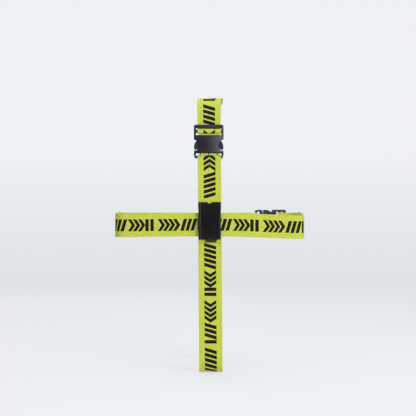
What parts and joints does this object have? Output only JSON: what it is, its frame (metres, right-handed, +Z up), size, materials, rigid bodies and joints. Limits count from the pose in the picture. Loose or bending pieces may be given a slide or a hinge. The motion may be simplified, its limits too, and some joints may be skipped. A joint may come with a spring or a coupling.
{
  "type": "cross luggage strap",
  "caption": "Two crossing webbing belts with side-release buckles and a card housing where they cross, pulled round a suitcase.",
  "frame": {"origin": "middle of the upright belt's bottom run, on the face that the underside of the suitcase rests on", "axes": "+Z up along the upright belt, +Y from the front of the suitcase to its back, +X to the right seen from the front"},
  "size_m": [0.4077, 0.2768, 0.5887],
  "materials": {
    "webbing": "lime green woven polyester, lightly lustrous",
    "thread": "lime green sewing thread",
    "buckle_plastic": "satin dark grey acetal",
    "housing_plastic": "black, semi-gloss",
    "tray_plastic": "dark smoked, clear",
    "card": "matt, dark",
    "steel": "plain zinc plated"
  },
  "bodies": {
    "strap": {"upright_webbing": "webbing", "upright_short_webbing": "webbing", "level_webbing": "webbing", "level_short_webbing": "webbing", "upper_loop_tacks": "thread", "lower_loop_tacks": "thread", "level_seam_tacks": "thread", "upright_buckle_socket": "buckle_plastic", "level_buckle_socket": "buckle_plastic", "cross_base": "housing_plastic", "cross_cover": "housing_plastic", "cross_screws": "steel", "upper_loop_rod": "steel", "lower_loop_rod": "steel"},
    "upright_plug": {"upright_plug_frame": "buckle_plastic", "plug_fold_tack": "thread"},
    "upright_left_arm": {"upright_left_prong": "buckle_plastic"},
    "upright_right_arm": {"upright_right_prong": "buckle_plastic"},
    "level_plug": {"level_plug_frame": "buckle_plastic"},
    "level_left_arm": {"level_left_prong": "buckle_plastic"},
    "level_right_arm": {"level_right_prong": "buckle_plastic"},
    "tray": {"card_tray": "tray_plastic", "name_card": "card"}
  },
  "joints": [
    {"name": "upright_release", "type": "slide", "parent": "strap", "child": "upright_plug", "axis": [0, 0, -1], "range_m": [0, 0.036], "deforming": ["upright_short_webbing", "upright_left_prong", "upright_right_prong"]},
    {"name": "upright_left_squeeze", "type": "hinge", "parent": "upright_plug", "child": "upright_left_arm", "pos_m": [-0.0185, -0.131, 0.4705], "axis": [0, 1, 0], "range_deg": [0, 13], "stiffness_Nm_per_rad": 0.6, "springref_deg": -1.15},
    {"name": "upright_right_squeeze", "type": "hinge", "parent": "upright_plug", "child": "upright_right_arm", "pos_m": [0.0145, -0.131, 0.4705], "axis": [0, -1, 0], "range_deg": [0, 13], "stiffness_Nm_per_rad": 0.6, "springref_deg": -1.15},
    {"name": "level_release", "type": "slide", "parent": "strap", "child": "level_plug", "axis": [-1, 0, 0], "range_m": [0, 0.036], "deforming": ["level_short_webbing", "level_left_prong", "level_right_prong"]},
    {"name": "level_left_squeeze", "type": "hinge", "parent": "level_plug", "child": "level_left_arm", "pos_m": [0.1196, 0.131, 0.2988], "axis": [0, -1, 0], "range_deg": [0, 13], "stiffness_Nm_per_rad": 0.6, "springref_deg": -1.15},
    {"name": "level_right_squeeze", "type": "hinge", "parent": "level_plug", "child": "level_right_arm", "pos_m": [0.1196, 0.131, 0.3318], "axis": [0, 1, 0], "range_deg": [0, 13], "stiffness_Nm_per_rad": 0.6, "springref_deg": -1.15},
    {"name": "tray_slide", "type": "slide", "parent": "strap", "child": "tray", "axis": [0, 0, -1], "range_m": [0, 0.06]}
  ]
}
